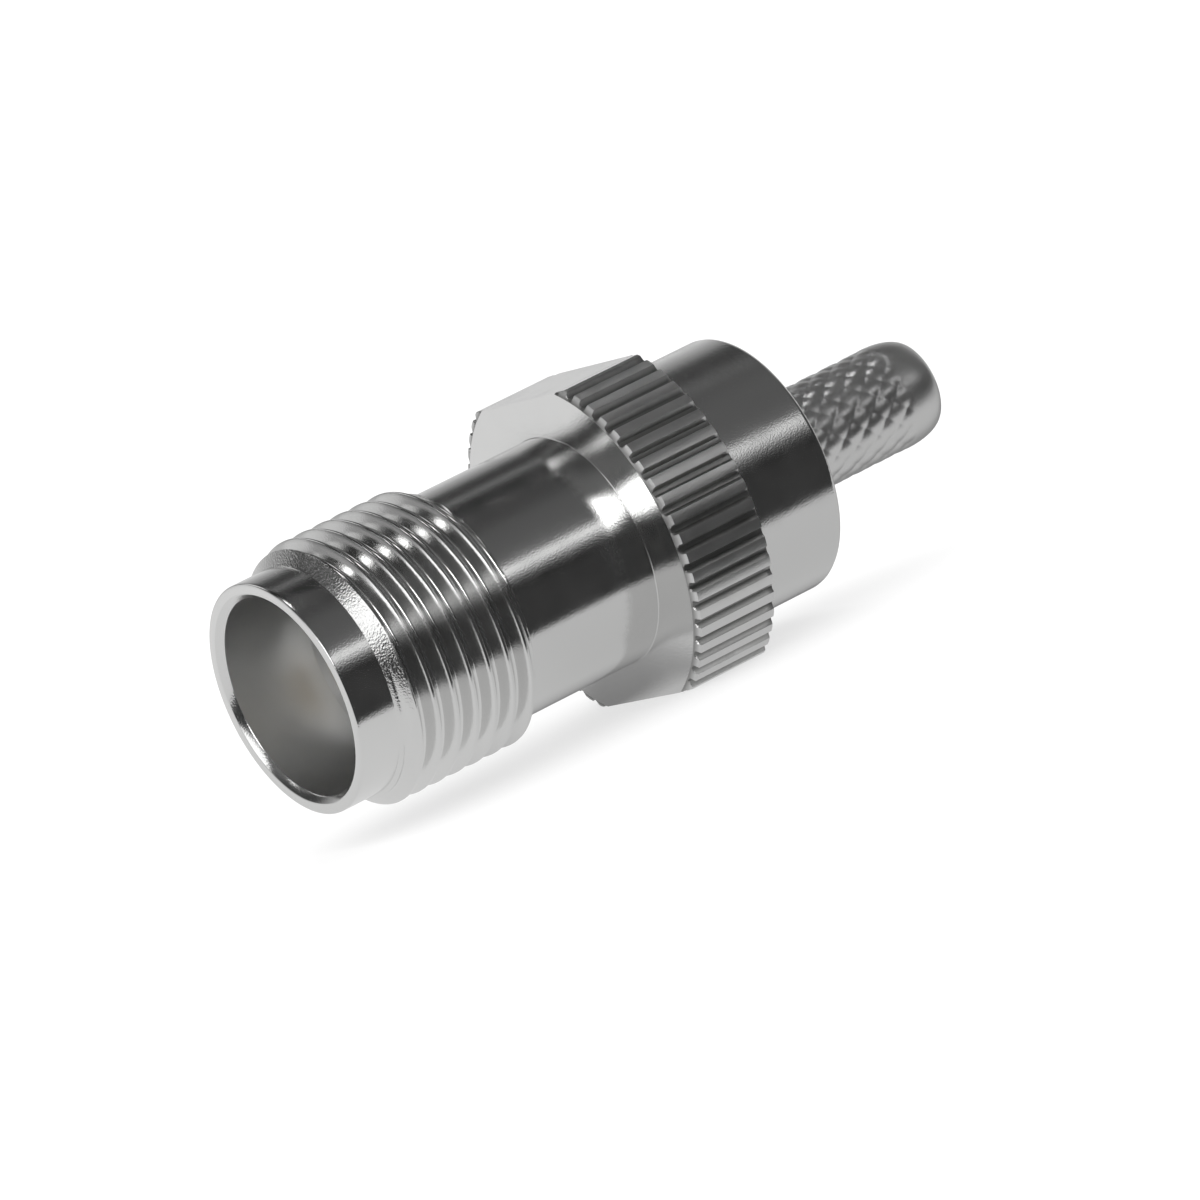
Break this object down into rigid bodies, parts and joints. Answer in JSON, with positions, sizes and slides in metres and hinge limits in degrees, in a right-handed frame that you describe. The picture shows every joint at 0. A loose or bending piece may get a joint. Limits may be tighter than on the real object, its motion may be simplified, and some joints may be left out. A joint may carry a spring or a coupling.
{
  "type": "tnc crimp connector",
  "caption": "Threaded coaxial jack with a knurled, flatted flange and a knurled crimp stem that takes a cable's braid and ferrule.",
  "frame": {"origin": "centre of the mouth, on the axis, in the plane of the rim's front edge", "axes": "+X along the axis from the mouth towards the cable end, +Z square to the upper wrench flat, +Y completes a right-handed set"},
  "size_m": [0.0316, 0.0146, 0.0126],
  "materials": {
    "plated_shell": "bright nickel plate over turned brass",
    "plated_stem": "bright nickel plate over turned and knurled brass",
    "insulator": "white fluoropolymer, turned",
    "contact": "gold plate over turned brass"
  },
  "bodies": {
    "root": {"body": "plated_shell", "crimp_stem": "plated_stem", "front_insulator": "insulator", "rear_insulator": "insulator", "centre_contact": "contact"}
  },
  "joints": []
}
